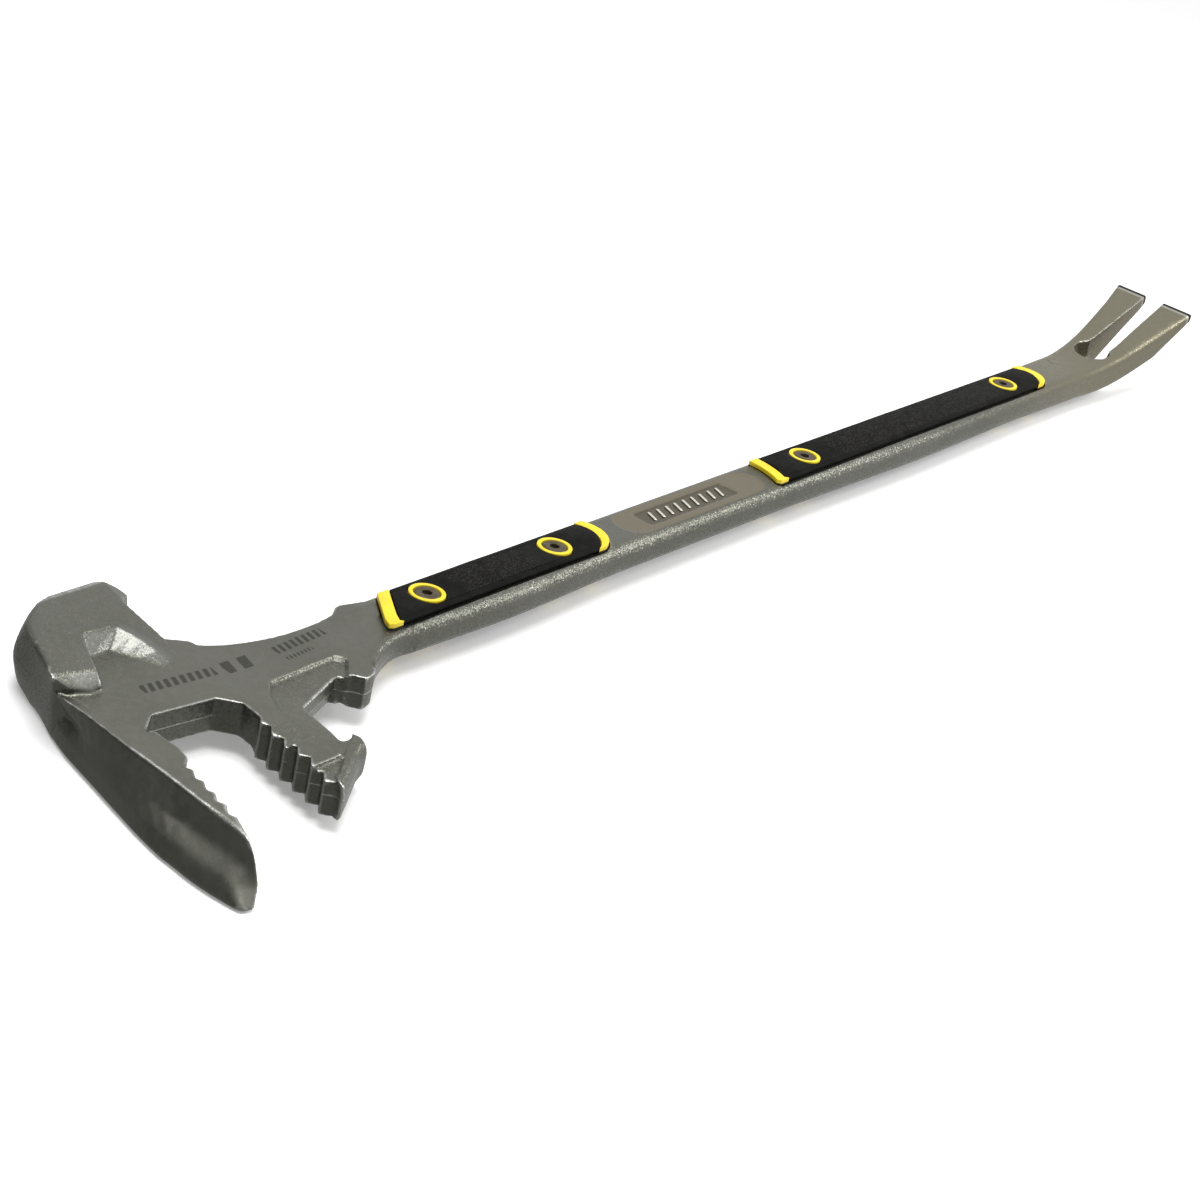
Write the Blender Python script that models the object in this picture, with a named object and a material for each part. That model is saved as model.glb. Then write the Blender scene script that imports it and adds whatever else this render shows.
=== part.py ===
"""Forged entry bar: toothed board jaw, striking block, notch hook, bolted grips and a slotted claw.

Working coordinates are millimetres: X runs from the jaw end to the claw tip along the bar axis,
the striking block is on +Y, the jaws open to -Y, and Z = 0 is the plane halfway through the bar.
"""

import math

import bmesh
import bpy
import numpy as np
from mathutils import Matrix

MM = 0.001

# Bar
BAR_HALF_WIDTH = 13.7
BAR_HALF_THICK = 7.2
BAR_CORNER = 6.3
CLAW_CORNER = 3.5
CORNER_STEPS = 5
# The corner rounding blends from the bar's to the claw's between these two X.
CORNER_BLEND_START = 600.0
CORNER_BLEND_END = 700.0
SWELL = 2.0
SHORT_SWELL = (219.0, 74.0)
LONG_SWELL = (517.0, 125.0)
BAR_START = 138.0

# Claw
CLAW_START = 678.0
CLAW_TIP = 765.4
CLAW_TIP_HALF_WIDTH = 22.9
CLAW_SKEW = -1.1
CLAW_BEND_END = 728.0
CLAW_SLOPE = 0.36
CLAW_THICK = 15.4
CLAW_TIP_THICK = 4.6
CLAW_THIN_START = 741.0
SLOT_HALF_WIDTH = 6.5
SLOT_TIP_HALF_WIDTH = 5.4
SLOT_DRAFT = 0.1
SLOT_END_SLOPE = 0.3
# The chamfer under the slot: its height where the slot starts, its rise per mm, how far down it opens.
UNDERSIDE_HEIGHT = -15.5
UNDERSIDE_RISE = 0.2
UNDERSIDE_DROP = 9.0
SLOT_START = 711.0
FUNNEL_START = 699.0
PAST_TIP = CLAW_TIP + 30

# Head
WEB_HALF = 6.6
RELIEF_Z = 5.1
BLOCK_TOP = 12.5
BLOCK_MIDDLE = 50.0
FOOT_DRAFT = 0.02
HEAD_BOTTOM = -14.0
STRIKE_Y = 64.4
BLADE_EDGE_Z = -12.5
TOOTH_PITCH = 6.9
ARM_TOOTH_PITCH = 7.3
TOOTH_COUNT = 5
ARM_BOTTOM = -8.1
ARM_LIP_TOP = 5.9

# Grips
SEAT_FLOOR = 5.6
GAP = 0.3
GRIP_HALF_WIDTH = 10.2
CARRIER_BASE_TOP = 7.0
BAND_TOP = 9.0
PAD_CROWN = 9.5
PAD_EDGE = 8.5
RING_RADIUS = 7.2
RING_TOP = 9.6
SCREW_RADIUS = 5.15
SCREW_TOP = 9.4
SHANK_RADIUS = 2.5
SLEEVE_RADIUS = 3.4
HOLE_RADIUS = 3.8
HEX_RADIUS = 2.2
HEX_DEPTH = 1.8
BASE_HALF_WIDTH = 8.4
BAND_LENGTH = {"short": 5.0, "long": 5.6}
# The underside grips lie this much deeper in the bar and are this much smaller all round.
UNDER_LIFT = 1.4
UNDER_INSET = 0.8
SCREW_X = {"short": (180.0, 256.0), "long": (434.5, 613.0)}

# Label flat
LABEL_X = (299.0, 397.0)
LABEL_HALF_WIDTH = 9.4
LABEL_Z = 6.8
PANEL_X = (314.0, 377.0)
PANEL_HALF_WIDTH = 5.6
PANEL_CORNER = 2.4
PANEL_Z = 6.2


def clear_scene():
    for obj in list(bpy.data.objects):
        bpy.data.objects.remove(obj, do_unlink=True)


def material(name, colour, roughness, metallic):
    made = bpy.data.materials.new(name)
    made.use_nodes = True
    shader = made.node_tree.nodes["Principled BSDF"]
    shader.inputs["Base Color"].default_value = (*colour, 1.0)
    shader.inputs["Roughness"].default_value = roughness
    shader.inputs["Metallic"].default_value = metallic
    return made


def arc(start, middle, end, steps):
    """Points of the circle through three points, from start to end."""
    ax, ay = start
    bx, by = middle
    cx, cy = end
    d = 2 * (ax * (by - cy) + bx * (cy - ay) + cx * (ay - by))
    a2, b2, c2 = ax**2 + ay**2, bx**2 + by**2, cx**2 + cy**2
    ux = (a2 * (by - cy) + b2 * (cy - ay) + c2 * (ay - by)) / d
    uy = (a2 * (cx - bx) + b2 * (ax - cx) + c2 * (bx - ax)) / d
    radius = math.hypot(ax - ux, ay - uy)
    first = math.atan2(ay - uy, ax - ux)
    through = (math.atan2(by - uy, bx - ux) - first) % math.tau
    turn = (math.atan2(cy - uy, cx - ux) - first) % math.tau
    if through > turn:
        turn -= math.tau
    angles = [first + turn * i / steps for i in range(steps + 1)]
    return [(ux + radius * math.cos(a), uy + radius * math.sin(a)) for a in angles]


def smooth_through(points, steps):
    """A Catmull-Rom curve through the points, with this many steps between neighbours."""
    p = np.array(points, float)
    p = np.vstack([2 * p[0] - p[1], p, 2 * p[-1] - p[-2]])
    out = []
    for i in range(1, len(p) - 2):
        for t in np.arange(steps) / steps:
            near = 2 * p[i] + (p[i + 1] - p[i - 1]) * t
            bend = (2 * p[i - 1] - 5 * p[i] + 4 * p[i + 1] - p[i + 2]) * t**2
            twist = (3 * p[i] - p[i - 1] - 3 * p[i + 1] + p[i + 2]) * t**3
            out.append((near + bend + twist) / 2)
    out.append(p[-2])
    return np.array(out)


def solid(name, points, faces, paint=None):
    """A closed mesh object, from points in millimetres."""
    mesh = bpy.data.meshes.new(name)
    mesh.from_pydata([tuple(float(c) * MM for c in p) for p in points], [], faces)
    work = bmesh.new()
    work.from_mesh(mesh)
    bmesh.ops.recalc_face_normals(work, faces=work.faces)
    work.to_mesh(mesh)
    work.free()
    obj = bpy.data.objects.new(name, mesh)
    bpy.context.scene.collection.objects.link(obj)
    if paint:
        mesh.materials.append(paint)
    return obj


def loft(name, rings, paint=None):
    """A closed body through rings of equal length, capped at both ends."""
    count = len(rings[0])
    points = [p for ring in rings for p in ring]
    faces = []
    for i in range(len(rings) - 1):
        for j in range(count):
            k = (j + 1) % count
            faces.append((i * count + j, i * count + k, (i + 1) * count + k, (i + 1) * count + j))
    faces.append(tuple(range(count)))
    faces.append(tuple((len(rings) - 1) * count + j for j in range(count)))
    return solid(name, points, faces, paint)


def prism(name, outline, low, high, paint=None):
    """A flat outline extruded from one height to another."""
    return loft(name, [[(x, y, z) for x, y in outline] for z in (low, high)], paint)


def helper(obj):
    obj.hide_render = True
    obj.display_type = "WIRE"
    return obj


def combine(obj, other, operation):
    made = obj.modifiers.new(other.name, "BOOLEAN")
    made.operation = operation
    made.solver = "EXACT"
    made.object = helper(other)
    return obj


def both_faces(make, obj, operation):
    """Uses a helper on the upper face and its mirror image on the lower one."""
    for side, tag in ((1, "upper"), (-1, "lower")):
        combine(obj, make(side, tag), operation)


def smooth(obj, degrees=30):
    obj.data.shade_smooth()
    obj.data.set_sharp_from_angle(angle=math.radians(degrees))


# ---------------------------------------------------------------- bar and claw


def swell(x, centre, reach):
    along = abs(x - centre) / reach
    return SWELL * math.cos(along * math.pi / 2) ** 2 if along < 1 else 0.0


def half_width(x):
    width = BAR_HALF_WIDTH + swell(x, *SHORT_SWELL) + swell(x, *LONG_SWELL)
    if x < 150:
        width -= 4.5 * ((150 - x) / 12) ** 2
    if x > CLAW_START:
        along = (x - CLAW_START) / (CLAW_TIP - CLAW_START)
        width += (CLAW_TIP_HALF_WIDTH - BAR_HALF_WIDTH) * along**1.5
    return width


def claw_top(x):
    bend = CLAW_BEND_END - CLAW_START
    if x <= CLAW_START:
        return BAR_HALF_THICK
    if x <= CLAW_BEND_END:
        return BAR_HALF_THICK + CLAW_SLOPE * (x - CLAW_START) ** 2 / (2 * bend)
    return BAR_HALF_THICK + CLAW_SLOPE * (bend / 2 + x - CLAW_BEND_END)


def thickness(x):
    if x < 152:
        return 2 * (WEB_HALF - 0.5) + 2.2 * (x - BAR_START) / (152 - BAR_START)
    if x > CLAW_THIN_START:
        along = (x - CLAW_THIN_START) / (CLAW_TIP - CLAW_THIN_START)
        return CLAW_THICK + (CLAW_TIP_THICK - CLAW_THICK) * along**1.2
    if x > CLAW_START:
        along = (x - CLAW_START) / (CLAW_THIN_START - CLAW_START)
        return 2 * BAR_HALF_THICK + (CLAW_THICK - 2 * BAR_HALF_THICK) * min(1, 2 * along)
    return 2 * BAR_HALF_THICK


def claw_shift(x):
    """How far the claw leans sideways."""
    return CLAW_SKEW * max(0.0, x - CLAW_START) / (CLAW_TIP - CLAW_START)


def bar_ring(x):
    thick = thickness(x)
    middle = claw_top(x) - thick / 2 if x > CLAW_START else 0.0
    towards_claw = (x - CORNER_BLEND_START) / (CORNER_BLEND_END - CORNER_BLEND_START)
    towards_claw = min(1.0, max(0.0, towards_claw))
    corner = min(BAR_CORNER + (CLAW_CORNER - BAR_CORNER) * towards_claw, thick * 0.44)
    if x > CORNER_BLEND_END:
        corner = min(corner, thick * 0.3)
    wide, tall = half_width(x) - corner, thick / 2 - corner
    shift = claw_shift(x)
    ring = []
    for quarter, (sy, sz) in enumerate(((1, 1), (-1, 1), (-1, -1), (1, -1))):
        for i in range(CORNER_STEPS + 1):
            a = math.radians(90 * quarter + 90 * i / CORNER_STEPS)
            y = shift + sy * wide + corner * math.cos(a)
            z = middle + sz * tall + corner * math.sin(a)
            ring.append((x, y, z))
    return ring


def claw_slot():
    """A tapered cutter, tilted like the claw: straight sides and a rounded inner end."""
    rings = []
    narrowing = (SLOT_HALF_WIDTH - SLOT_TIP_HALF_WIDTH) / (CLAW_TIP - SLOT_START)
    for height in (-19.0, 14.0):
        half = SLOT_HALF_WIDTH + SLOT_DRAFT * height
        far = half - narrowing * (PAST_TIP - SLOT_START)
        start = SLOT_START - SLOT_END_SLOPE * height
        outline = [(PAST_TIP, claw_shift(PAST_TIP) - far), (PAST_TIP, claw_shift(PAST_TIP) + far)]
        for a in np.linspace(0.5, 1.5, 9) * math.pi:
            outline.append((start + half * math.cos(a), claw_shift(SLOT_START) + half * math.sin(a)))
        rings.append([(x, y, height) for x, y in outline])
    cutter = loft("claw_slot_cutter", rings)
    cutter.data.transform(claw_tilt())
    return cutter


def slot_underside():
    """The wide chamfer along the lower edges of the claw slot."""
    rings = []
    far_height = UNDERSIDE_HEIGHT + UNDERSIDE_RISE * (PAST_TIP - SLOT_START)
    half = SLOT_TIP_HALF_WIDTH - 0.6
    wide = half + UNDERSIDE_DROP
    for x, height in ((SLOT_START + 1, UNDERSIDE_HEIGHT), (PAST_TIP, far_height)):
        middle = claw_shift(x)
        low = height - UNDERSIDE_DROP
        ring = [(x, middle - half, height + 1), (x, middle - half, height), (x, middle - wide, low)]
        ring += [(x, middle + wide, low), (x, middle + half, height), (x, middle + half, height + 1)]
        rings.append(ring)
    cutter = loft("slot_underside_cutter", rings)
    cutter.data.transform(claw_tilt())
    return cutter


def claw_tilt():
    """Moves a cutter made level, with its top at Z = 0, onto the claw's slope."""
    turn = Matrix.Translation((CLAW_BEND_END * MM, 0, claw_top(CLAW_BEND_END) * MM))
    turn = turn @ Matrix.Rotation(-math.atan(CLAW_SLOPE), 4, "Y")
    return turn @ Matrix.Translation((-CLAW_BEND_END * MM, 0, 0))


def funnel():
    """The blind lead-in at the closed end of the claw slot."""
    low = arc((714, 5), (FUNNEL_START + 1.5, 0), (714, -5), 8)
    high = arc((714, 6.2), (FUNNEL_START - 4, 0), (714, -6.2), 8)
    rings = [[(x, y, 2.0) for x, y in low], [(x, y, 13.0) for x, y in high]]
    return loft("claw_funnel_cutter", rings)


# ---------------------------------------------------------------- head


def arm_teeth():
    points = []
    for i in range(TOOTH_COUNT):
        points.append((65.2 - 1.15 * i, -33.4 - ARM_TOOTH_PITCH * i))
        points.append((61.5 - 1.2 * i, -37.4 - ARM_TOOTH_PITCH * i))
    return points


def head_outline():
    """Plan of the web: back edge, throat, both toothed jaws, notch and hook, anticlockwise."""
    points = [(165, 9), (147, 13.8), (144.1, 13.1), (140.6, 10.7)]
    points += arc((138.6, 9.8), (113.2, 8.7), (88.7, 14.6), 12)
    points += [(84.1, 17), (80.9, 19.3), (80.6, 22.6), (74, 28.5)]
    points += [(66, 44), (40, 44), (30, 38), (21, 19), (20.2, 0), (18, -22)]
    points += [(17.4, -36), (14.2, -58), (12.6, -71), (11.2, -79.2)]
    points += [(12.4, -76.4), (15.2, -70.6)]
    for i in reversed(range(TOOTH_COUNT)):
        points.append((23.5 - 1.72 * i, -39.9 - TOOTH_PITCH * i))
        points.append((22.4 - 1.72 * i, -37 - TOOTH_PITCH * i))
    points += [(27, -33.6), (28.6, -28.4), (29.2, -16), (26.5, -14.1)]
    points += [(35.1, -7.5), (61, -10.8), (66.7, -18.3), (65.6, -27.7), (63.3, -30.1)]
    points += arm_teeth()
    points += [(59.7, -70), (59.1, -73.4), (79.6, -60), (85, -58), (87, -54)]
    points += [(84.5, -52.5), (80.4, -52.1), (83.7, -34.8)]
    points += [(84.6, -30), (110, -21), (112.3, -24.4), (113.8, -25.2), (116.5, -29.5), (119.4, -29)]
    points += arc((122.2, -28.1), (133, -20.5), (150, -13.7), 8)
    points += [(165, -9)]
    return points


def blade():
    """The curved outer flange of the jaw: a ridge, a steep band, a bulged face and a flat foot."""
    ridge = [
        (27, 43, -0.5), (21.5, 30, 3.8), (17.2, 19.5, 6.6), (16.8, 4, 6.6), (15.4, -15, 6.6),
        (14.6, -34, 6.6), (12.6, -56, 6.6), (11.3, -72, 6.6), (10.3, -79.4, 5.6), (10.6, -82.4, 1),
    ]
    band = [
        (27, 43, -5), (22.5, 27, -2), (20, 12, -2), (16, 2, -2), (12.2, -14, -2),
        (9, -35.5, -2), (9.4, -55, -2), (9.3, -70, -1), (9, -78.5, -1), (10.6, -84.4, -3.5),
    ]
    belly = [
        (27.4, 42, -8), (21.5, 25, -7), (17, 11, -7), (13.8, -1, -7), (9.7, -17, -7),
        (5.4, -38, -7), (3.4, -58, -6.5), (3, -72, -6.5), (3.8, -80, -6.5), (10.5, -85.8, -8),
    ]
    edge = [
        (29, 43, -12.5), (22, 27.5, -12.5), (16.3, 12, -12.5), (12.4, -3.5, -12.5), (8, -21, -12.5),
        (3.4, -40, -12.5), (0.4, -58, -12.5), (-0.4, -72, -12.5), (1.9, -86.4, -12.5), (6.6, -88.7, -12.3),
    ]
    foot = [
        (31, 42, -14), (24, 27, -14), (18.3, 11.5, -14), (14.4, -4, -14), (10, -21.5, -14),
        (5.2, -40, -14), (2.2, -58, -14), (1.4, -71.5, -14), (3.2, -85, -14), (6.9, -87.6, -13.7),
    ]
    heel = [
        (40, 38, -14), (31, 23, -14), (26, 9, -14), (22.4, -6, -14), (18.6, -23, -14),
        (14.6, -40, -14), (11.2, -57, -14), (9.8, -71, -14), (9.2, -79.5, -14), (9.2, -85.2, -12.8),
    ]
    step = [
        (45, 36, -5.5), (36, 21, -5.5), (31, 8, -5.5), (27.4, -6, -5.5), (23, -22, -5.5),
        (19, -39, -5.5), (15.6, -56, -5.5), (13.2, -70, -5.5), (11.8, -78.5, -5.5), (11.5, -84.6, -7.5),
    ]
    inner = [
        (45, 36, 0), (36, 21, 3), (23, 19, 5.5), (22, 3, 6.6), (20.6, -15, 6.6),
        (18.4, -33, 6.6), (15.4, -55, 6.6), (13.4, -70, 6.6), (11.5, -78.2, 5.6), (11.4, -82.2, 1),
    ]
    rails = [smooth_through(rail, 3) for rail in (ridge, band, belly, edge, foot, heel, step, inner)]
    for rail in rails:
        rail[:, 2] = rail[:, 2].clip(HEAD_BOTTOM, WEB_HALF)
    return loft("blade_body", [[rail[i] for rail in rails] for i in range(len(rails[0]))])


def block():
    """The striking block: two legs running onto the web, with a sloped pocket on each face."""
    corner = [
        ((16.2, 21.5), (18.5, 22), (20.5, 23)), ((24.9, 40.3), (25.1, 40.2), (27.5, 40.2)),
        ((28.7, 47.5), (26.9, 48.4), (30.2, 48.4)), ((32.5, 54), (30, 56.9), (33.4, 56.3)),
        ((36.3, 57.6), (35.2, 60.9), (38.2, 60.4)), ((41, 61), (41, 63.6), (42, 63)),
        ((48, 63.4), (48, STRIKE_Y), (48, STRIKE_Y)),
    ]
    rounded = smooth_through([sum(column, ()) for column in corner], 3).reshape(-1, 3, 2)
    columns = [[tuple(p) for p in column] for column in rounded]
    columns += [
        ((52, STRIKE_Y), (52, STRIKE_Y), (52, STRIKE_Y)),
        ((72, STRIKE_Y), (72, STRIKE_Y), (72, STRIKE_Y)), ((76.8, 62.4), (77.5, 63), (77.5, 63)),
        ((79.3, 59), (80.5, 60), (80, 59.5)), ((79.6, 54.5), (81, 54), (80, 54)),
        ((72, 48.8), (73, 48.5), (72, 48.5)), ((71.6, 26), (72, 26), (71.6, 26)),
        ((67.7, 13.5), (67.7, 13.5), (67.7, 13.5)), ((60, 10), (60, 10), (60, 10)),
        ((34, 13), (34, 13), (34, 13)), ((27, 13.2), (27, 13.2), (27, 13.2)),
        ((19.5, 17), (21, 17), (22, 17)),
    ]
    rings = [[(*c[2], HEAD_BOTTOM) for c in columns], [(*c[1], 0) for c in columns]]
    rings.append([(*c[0], BLOCK_TOP) for c in columns])
    rings[0] = [(x + (BLOCK_MIDDLE - x) * FOOT_DRAFT, y, z) for x, y, z in rings[0]]
    rings.insert(1, [(*c[2], BLADE_EDGE_Z) for c in columns])
    return loft("block_body", rings)


def slope_cut(name, start, direction, profile, reach, side):
    """A prism whose profile is (distance along direction, height), swept sideways by reach."""
    dx, dy = direction
    size = math.hypot(dx, dy)
    dx, dy = dx / size, dy / size
    rings = []
    for across in (-reach[0], reach[1]):
        ring = []
        for along, height in profile:
            x = start[0] + dx * along - dy * across
            y = start[1] + dy * along + dx * across
            ring.append((x, y, side * height))
        rings.append(ring)
    return loft(name, rings)


def leg_slope(side, tag):
    """Lets the right leg of the block run down onto the web."""
    profile = [(0, BLOCK_TOP), (40, BLOCK_TOP - 0.238 * 40), (40, 30), (0, 30)]
    return slope_cut("leg_slope_" + tag, (57.3, 37.8), (11.2, -14.7), profile, (16, 60), side)


def toe_slope(side, tag):
    """Rounds the toe of the left leg down to the web."""
    profile = [(0, BLOCK_TOP), (1.6, 11.9), (4, 10), (6.6, 7.6), (9, 5.4), (30, 3), (30, 30), (0, 30)]
    return slope_cut("toe_slope_" + tag, (22.5, 21.2), (-0.3, -0.95), profile, (26, 18), side)


def ear_slope(side, tag):
    """The chamfer on the outer corner of the striking face."""
    profile = [(0, BLOCK_TOP), (14, BLOCK_TOP - 0.45 * 14), (14, 30), (0, 30)]
    return slope_cut("ear_slope_" + tag, (72.2, 50), (0.967, -0.254), profile, (0, 30), side)


def pocket(side, tag):
    """The house-shaped pocket between the legs, with sloped walls."""
    floor = [(21.3, -5), (66.9, -5), (59, 14.4), (57.2, 18.8), (55.5, 23.1), (53.7, 27.4)]
    floor += [(51.9, 31.8), (42.5, 31.4)]
    rim = [(19.2, -5), (110, 0), (104, 22), (81.7, 28.5), (71, 31.6), (65.4, 34)]
    rim += [(60, 37.4), (44.2, 39.9)]
    rings = [[(x, y, side * height) for x, y in outline] for outline, height in (
        (floor, 3.0), (floor, WEB_HALF), (rim, BLOCK_TOP + 1)
    )]
    return loft("pocket_" + tag, rings)


def relief():
    """The shallow relief on top of the middle jaw, as far as the notch, with a steep edge."""
    low = [(85.7, -13.2), (101, -12.8), (117, -12.5), (118.5, -14.4), (118.5, -17), (115.2, -20)]
    low += [(111.6, -23.6), (100, -40), (100, -90), (50, -90)]
    low += [(50, -60), (72.9, -60), (73.4, -46), (74.4, -35.2), (76, -27.2), (80.2, -19)]
    high = [(84.8, -11.6), (101.2, -11), (119, -10.1), (122, -13.2), (122.4, -16.8), (118.6, -21.2)]
    high += [(114.6, -25), (100, -40), (100, -90), (50, -90)]
    high += [(50, -60), (70.9, -60), (71.4, -46), (72.2, -35), (73.4, -26.4), (77.8, -17.2)]
    rings = [[(x, y, RELIEF_Z) for x, y in low]]
    rings.append([(x, y, 2 * WEB_HALF - RELIEF_Z) for x, y in high])
    return loft("relief", rings)


def jaw_slope():
    """The gentle slope from the throat down to the relief."""
    profile = [(0, 6.9), (26, 5.13), (26, 12), (0, 12)]
    return slope_cut("jaw_slope", (66, -20.2), (0, -1), profile, (14, 10), 1)


def notch_drafts():
    """Lean the lower half of the notch wall and of the hook back from the opening."""
    hook = [(-6, -0.3), (0.6, -0.3), (3.4, -WEB_HALF), (4, -12), (-6, -12)]
    wall = [(-4, -0.3), (0.3, -0.3), (1.8, -WEB_HALF), (2.4, -12), (-4, -12)]
    cuts = [slope_cut("hook_draft", (110.4, -26.0), (1, 0), hook, (8, 4.4), 1)]
    cuts.append(slope_cut("wall_draft", (98, -25.3), (-0.334, 0.944), wall, (13.5, 15), 1))
    return cuts


def lip():
    """The raised band along the end of the middle jaw, rounded over on its outer side."""
    inner = [(84, -53), (82.3, -54.7), (77, -57.6), (64, -67), (61.5, -67.5), (59.6, -70.5)]
    outer = [(60.1, -73.8), (80.2, -61.5), (86.8, -59), (88.6, -55.4), (87, -52.8)]
    rings = []
    rounding = ((ARM_BOTTOM, 1.2), (ARM_BOTTOM + 1.5, 0.2), (1.5, 0.0), (4.3, 0.8), (ARM_LIP_TOP, 2.6))
    for height, inset in rounding:
        ring = [(x, y, height) for x, y in inner]
        ring += [(x - 0.48 * inset, y + 0.87 * inset, height) for x, y in outer]
        rings.append(ring)
    return loft("lip_body", rings)


def arm_foot():
    """The middle jaw below the web: it sits a little lower than the web on the underside."""
    points = [(84.2, -31), (66.5, -26), (65.6, -27.7), (63.3, -30.1)] + arm_teeth()
    points += [(59.7, -70), (59.1, -73.4), (79.6, -60), (84, -56), (80.4, -52.1), (83.7, -34.8)]
    return prism("arm_foot", points, ARM_BOTTOM, 0)


# ---------------------------------------------------------------- label and seats


def stadium(ends, half, steps=8):
    low, high = ends[0] + half, ends[1] - half
    turns = np.linspace(-0.5, 0.5, steps + 1) * math.pi
    points = [(high + half * math.cos(a), half * math.sin(a)) for a in turns]
    points += [(low - half * math.cos(a), -half * math.sin(a)) for a in turns]
    return points


def rounded_rectangle(ends, half, corner, steps=4):
    points = []
    for quarter, (sx, sy) in enumerate(((1, 1), (0, 1), (0, -1), (1, -1))):
        middle_x = ends[1] - corner if sx else ends[0] + corner
        for i in range(steps + 1):
            a = math.radians(90 * quarter + 90 * i / steps)
            points.append((middle_x + corner * math.cos(a), sy * (half - corner) + corner * math.sin(a)))
    return points


def grip_outline(which, inset):
    """Plan of a grip; inset shortens it at both ends, which leaves the end bands of the carrier."""
    edge = GRIP_HALF_WIDTH
    if which == "short":
        left = [(163.2 + inset * 1.28, edge), (151 + inset * 1.28, -5.4)]
        left += [(149.3 + inset * 1.2, -9), (151.5 + inset, -edge)]
        right = arc((277.5 - inset, -edge), (287 - inset, 0.5), (285.2 - inset * 0.9, edge), 8)
    else:
        left = arc((405.2 + inset, edge), (404.4 + inset, 1), (400.8 + inset, -8.4), 5)
        left += [(402.4 + inset, -edge)]
        right = arc((637.5 - inset, -edge), (647.5 - inset, 0.5), (644.5 - inset * 0.9, edge), 8)
    return left + right


def grip_prism(name, which, inset, grow, low, high, paint=None):
    outline = np.array(grip_outline(which, inset))
    if grow:
        after = np.roll(outline, -1, axis=0) - outline
        before = outline - np.roll(outline, 1, axis=0)
        normal = np.column_stack([after[:, 1] + before[:, 1], -after[:, 0] - before[:, 0]])
        outline = outline + grow * normal / np.linalg.norm(normal, axis=1)[:, None]
    return prism(name, [tuple(p) for p in outline], low, high, paint)


def cylinder(name, x, radius, low, high, sides=32, paint=None, turn=0.0):
    outline = [
        (x + radius * math.cos(turn + math.tau * i / sides), radius * math.sin(turn + math.tau * i / sides))
        for i in range(sides)
    ]
    return prism(name, outline, low, high, paint)


def trim(side):
    """How much smaller all round a grip is on this side of the bar."""
    return 0.0 if side > 0 else UNDER_INSET


def seated(obj, side):
    """Moves a grip piece, with everything that is cut from it or joined to it, to its side's depth."""
    if side < 0:
        obj.location.z += UNDER_LIFT * MM
        for modifier in obj.modifiers:
            if modifier.type == "BOOLEAN":
                seated(modifier.object, side)
    return obj


def forged_bar(paint):
    stations = list(np.linspace(BAR_START, 152, 4)) + [165, 180, 194, 207, 219, 231, 244, 258, 272, 290]
    stations += [395, 415, 435, 455, 475, 496, 517, 538, 559, 580, 600, 620, 640, CLAW_START]
    stations += list(np.linspace(CLAW_START, CLAW_THIN_START, 12))[1:] + [751, 758, CLAW_TIP]
    bar = loft("forged_bar", [bar_ring(x) for x in stations], paint)
    combine(bar, prism("web_body", head_outline(), -WEB_HALF, WEB_HALF), "UNION")
    for cutter in [relief(), jaw_slope()] + notch_drafts():
        combine(bar, cutter, "DIFFERENCE")
    combine(bar, arm_foot(), "UNION")
    combine(bar, lip(), "UNION")
    striking = block()
    for make in (pocket, leg_slope, toe_slope, ear_slope):
        both_faces(make, striking, "DIFFERENCE")
    combine(bar, striking, "UNION")
    combine(bar, blade(), "UNION")
    combine(bar, claw_slot(), "DIFFERENCE")
    combine(bar, slot_underside(), "DIFFERENCE")
    combine(bar, funnel(), "DIFFERENCE")
    panel = rounded_rectangle(PANEL_X, PANEL_HALF_WIDTH, PANEL_CORNER)
    combine(bar, prism("label_flat", stadium(LABEL_X, LABEL_HALF_WIDTH), LABEL_Z, 12), "DIFFERENCE")
    combine(bar, prism("label_panel", panel, PANEL_Z, 12), "DIFFERENCE")
    for which, places in SCREW_X.items():
        for side, tag in ((1, "top"), (-1, "bottom")):
            grow = 0.5 - trim(side)
            seat = grip_prism(f"seat_{which}_{tag}", which, 0, grow, side * SEAT_FLOOR, side * 14)
            combine(bar, seated(seat, side), "DIFFERENCE")
        for i, x in enumerate(places):
            combine(bar, cylinder(f"hole_{which}_{i}", x, HOLE_RADIUS, -12, 12, 24), "DIFFERENCE")
    smooth(bar, 25)
    return bar


# ---------------------------------------------------------------- grips and fasteners


def between_bands(which, tag, side):
    """Everything between the two end bands, out past both sides of the grip."""
    outline = grip_outline(which, BAND_LENGTH[which])
    turn = next(i for i, p in enumerate(outline) if i and p[0] > outline[i - 1][0] + 20)
    left, right = outline[:turn], outline[turn:]
    wide = GRIP_HALF_WIDTH + 4
    around = [(left[0][0], wide)] + left + [(left[-1][0], -wide)]
    around += [(right[0][0], -wide)] + right + [(right[-1][0], wide)]
    return prism(f"between_{which}_{tag}", around, side * 2, side * 20)


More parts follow.
